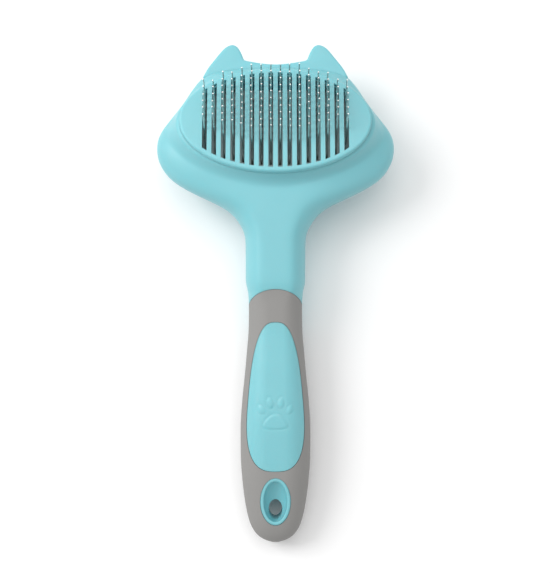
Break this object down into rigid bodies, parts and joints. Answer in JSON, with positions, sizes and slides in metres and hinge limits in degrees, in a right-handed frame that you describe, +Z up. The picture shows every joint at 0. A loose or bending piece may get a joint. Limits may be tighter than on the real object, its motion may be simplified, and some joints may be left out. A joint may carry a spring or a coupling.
{
  "type": "slicker brush",
  "caption": "Self-cleaning slicker brush for pet grooming: an eared oval head with bent wire pins, a slotted plate that a thumb button pushes out, and a soft-grip handle.",
  "frame": {"origin": "centre of the footprint of the brush as it lies on its back, at the surface it lies on", "axes": "+Y along the brush from the handle's end to the ears, +Z up out of the pin side, +X to the right as the pin side is seen"},
  "size_m": [0.0944, 0.198, 0.0472],
  "materials": {
    "shell_teal": "satin moulded plastic, pale teal",
    "grip_grey": "matte soft-touch elastomer, warm grey",
    "pin_steel": "bright drawn wire",
    "screw_steel": "plain steel",
    "bed_white": "natural moulded plastic"
  },
  "bodies": {
    "casing": {"front_shell": "shell_teal", "rear_shell": "shell_teal", "grip_front": "grip_grey", "grip_rear": "grip_grey", "handle_inlay": "shell_teal", "hang_eyelet": "shell_teal", "pin_bed": "bed_white", "pin_retainer": "bed_white", "pin_row_01": "pin_steel", "pin_row_02": "pin_steel", "pin_row_03": "pin_steel", "pin_row_04": "pin_steel", "pin_row_05": "pin_steel", "pin_row_06": "pin_steel", "pin_row_07": "pin_steel", "pin_row_08": "pin_steel", "pin_row_09": "pin_steel", "pin_row_10": "pin_steel", "pin_row_11": "pin_steel", "pin_row_12": "pin_steel", "pin_row_13": "pin_steel", "pin_row_14": "pin_steel", "pin_row_15": "pin_steel", "pin_row_16": "pin_steel", "return_spring_left": "screw_steel", "return_spring_right": "screw_steel", "bed_screw_1": "screw_steel", "bed_screw_2": "screw_steel", "bed_screw_3": "screw_steel", "bed_screw_4": "screw_steel"},
    "ejector": {"cleaning_plate": "shell_teal", "push_bridge": "bed_white", "button": "shell_teal", "plate_screw_left": "screw_steel", "plate_screw_right": "screw_steel", "button_screw": "screw_steel"}
  },
  "joints": [
    {"name": "eject_slide", "type": "slide", "parent": "casing", "child": "ejector", "axis": [0, 0.3536, 0.9354], "range_m": [0, 0.0075], "stiffness_N_per_m": 600, "springref_m": -0.008, "deforming": ["return_spring_left", "return_spring_right"]}
  ]
}
